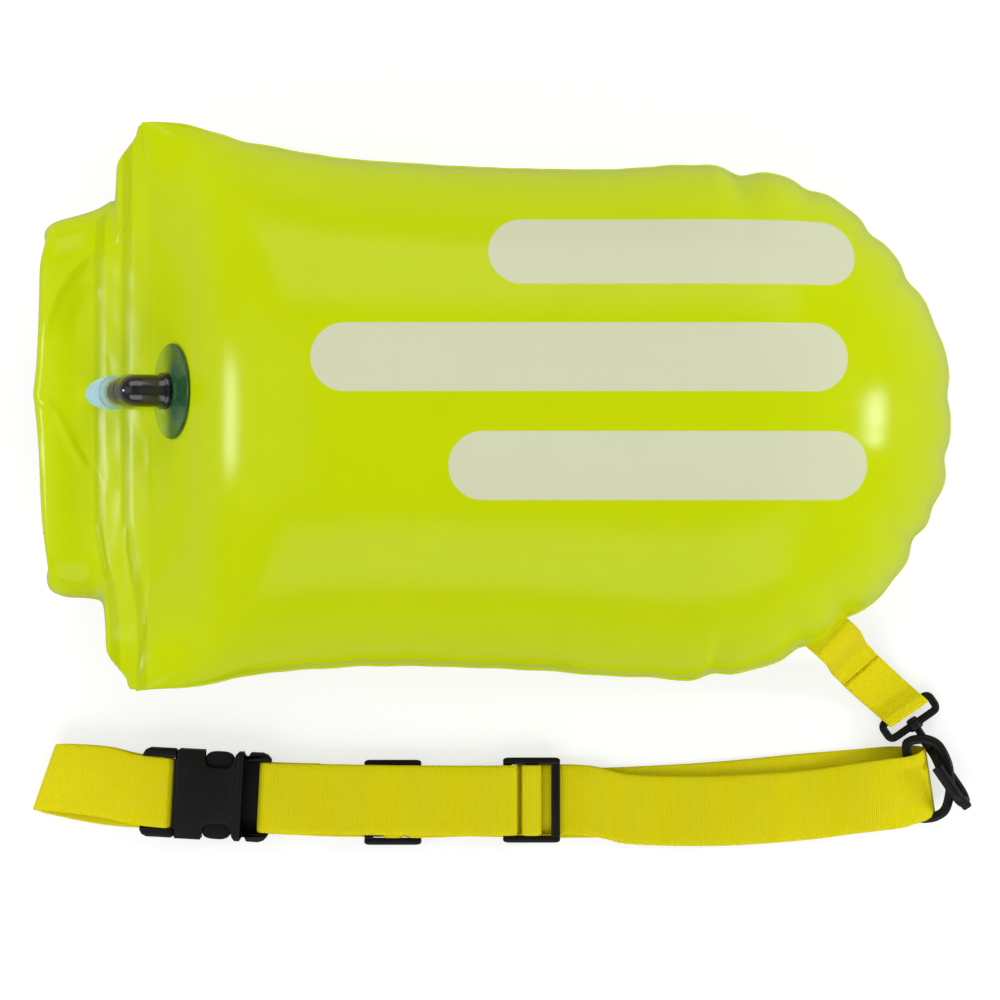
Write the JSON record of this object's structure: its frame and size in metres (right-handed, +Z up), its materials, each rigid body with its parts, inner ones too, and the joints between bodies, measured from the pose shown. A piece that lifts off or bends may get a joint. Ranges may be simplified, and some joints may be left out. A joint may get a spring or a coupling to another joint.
{
  "type": "open water swim buoy",
  "caption": "Inflatable open water swim buoy with a roll-top dry bag, oral valve, tether with snap hook, and a webbing waist belt with a side release buckle.",
  "frame": {"origin": "middle of the flat on the back panel that the float rests on", "axes": "+X from the roll-top towards the round end, along the longest side; +Y across the float, away from the belt; +Z up, out of the front panel"},
  "size_m": [0.5074, 0.3843, 0.195],
  "materials": {
    "coated_fabric": "semi-gloss coated fabric, neon yellow-green",
    "liner_fabric": "matt coated fabric, grey",
    "webbing": "woven, fine cross ribs, yellow",
    "black_plastic": "moulded, satin",
    "gloss_elbow": "glossy",
    "green_flange": "glossy, slightly see-through",
    "clear_sleeve": "clear",
    "pale_mouthpiece": "satin",
    "seal_rubber": "matt",
    "spring_steel": "bright wire"
  },
  "bodies": {
    "float": {"front_panel": "coated_fabric", "back_panel": "coated_fabric", "dry_bag_liner": "liner_fabric", "bag_neck": "coated_fabric", "roll_top": "coated_fabric", "roll_stiffener": "black_plastic", "closure_female": "black_plastic", "closure_tab_female": "webbing", "closure_tab_male": "webbing", "valve_base": "green_flange", "tether_anchor": "webbing", "tether_strap": "webbing", "hook_eye": "black_plastic", "buckle_female": "black_plastic", "belt_main_strap": "webbing", "belt_adjust_strap": "webbing"},
    "elbow": {"valve_elbow": "gloss_elbow", "mouthpiece_sleeve": "clear_sleeve", "valve_seal": "seal_rubber", "valve_spring": "spring_steel"},
    "mouthpiece": {"mouthpiece_tip": "pale_mouthpiece", "valve_plunger": "seal_rubber"},
    "closure_plug": {"closure_male": "black_plastic"},
    "closure_arm_l": {"closure_arm_left": "black_plastic"},
    "closure_arm_r": {"closure_arm_right": "black_plastic"},
    "belt_plug": {"buckle_male": "black_plastic", "belt_loop_strap": "webbing"},
    "belt_arm_u": {"buckle_arm_upper": "black_plastic"},
    "belt_arm_l": {"buckle_arm_lower": "black_plastic"},
    "front_slider": {"slider_front": "black_plastic"},
    "rear_slider": {"slider_rear": "black_plastic", "belt_end_strap": "webbing"},
    "hook": {"snap_hook": "black_plastic"},
    "gate": {"hook_gate": "black_plastic"},
    "ring": {"d_ring": "black_plastic"}
  },
  "joints": [
    {"name": "elbow_swivel", "type": "hinge", "parent": "float", "child": "elbow", "pos_m": [-0.18424, 0.013, 0.12531], "axis": [-0.8862, 0, 0.4633], "range_deg": [-90, 90]},
    {"name": "mouthpiece_push", "type": "slide", "parent": "elbow", "child": "mouthpiece", "axis": [0.4633, 0, 0.8862], "range_m": [0, 0.003], "stiffness_N_per_m": 300, "deforming": ["valve_spring"]},
    {"name": "closure_release", "type": "slide", "parent": "float", "child": "closure_plug", "axis": [0, -1, 0], "range_m": [0, 0.022], "deforming": ["closure_tab_male", "closure_arm_left", "closure_arm_right"]},
    {"name": "closure_press_left", "type": "hinge", "parent": "closure_plug", "child": "closure_arm_l", "pos_m": [-0.25737, 0.00478, 0.024], "axis": [0, 0, -1], "range_deg": [0, 11], "stiffness_Nm_per_rad": 0.05},
    {"name": "closure_press_right", "type": "hinge", "parent": "closure_plug", "child": "closure_arm_r", "pos_m": [-0.23803, 0.00478, 0.024], "axis": [0, 0, 1], "range_deg": [0, 11], "stiffness_Nm_per_rad": 0.05},
    {"name": "buckle_release", "type": "slide", "parent": "float", "child": "belt_plug", "axis": [-0.9986, 0.0523, 0], "range_m": [0, 0.036], "deforming": ["belt_loop_strap", "buckle_arm_upper", "buckle_arm_lower"]},
    {"name": "buckle_press_upper", "type": "hinge", "parent": "belt_plug", "child": "belt_arm_u", "pos_m": [-0.18744, -0.18538, 0.0091], "axis": [0, 0, -1], "range_deg": [0, 11], "stiffness_Nm_per_rad": 0.1},
    {"name": "buckle_press_lower", "type": "hinge", "parent": "belt_plug", "child": "belt_arm_l", "pos_m": [-0.18898, -0.21474, 0.0091], "axis": [0, 0, 1], "range_deg": [0, 11], "stiffness_Nm_per_rad": 0.1},
    {"name": "front_slider_slide", "type": "slide", "parent": "float", "child": "front_slider", "axis": [1, 0, 0], "range_m": [-0.018, 0.018], "deforming": ["belt_main_strap", "belt_adjust_strap"]},
    {"name": "rear_slider_slide", "type": "slide", "parent": "float", "child": "rear_slider", "axis": [1, 0, 0], "range_m": [-0.018, 0.018], "deforming": ["belt_end_strap"]},
    {"name": "hook_swivel", "type": "hinge", "parent": "float", "child": "hook", "pos_m": [0.2034, -0.1619, 0.0046], "axis": [0.5678, -0.8231, 0], "range_deg": [-4, 8]},
    {"name": "gate_press", "type": "hinge", "parent": "hook", "child": "gate", "pos_m": [0.21302, -0.17774, 0.00835], "axis": [0.7912, 0.5458, 0.2756], "range_deg": [0, 10], "stiffness_Nm_per_rad": 0.02},
    {"name": "ring_tilt", "type": "hinge", "parent": "float", "child": "ring", "pos_m": [0.2021, -0.1931, 0.0077], "axis": [-0.1478, 0.989, 0], "range_deg": [-2, 3]}
  ]
}
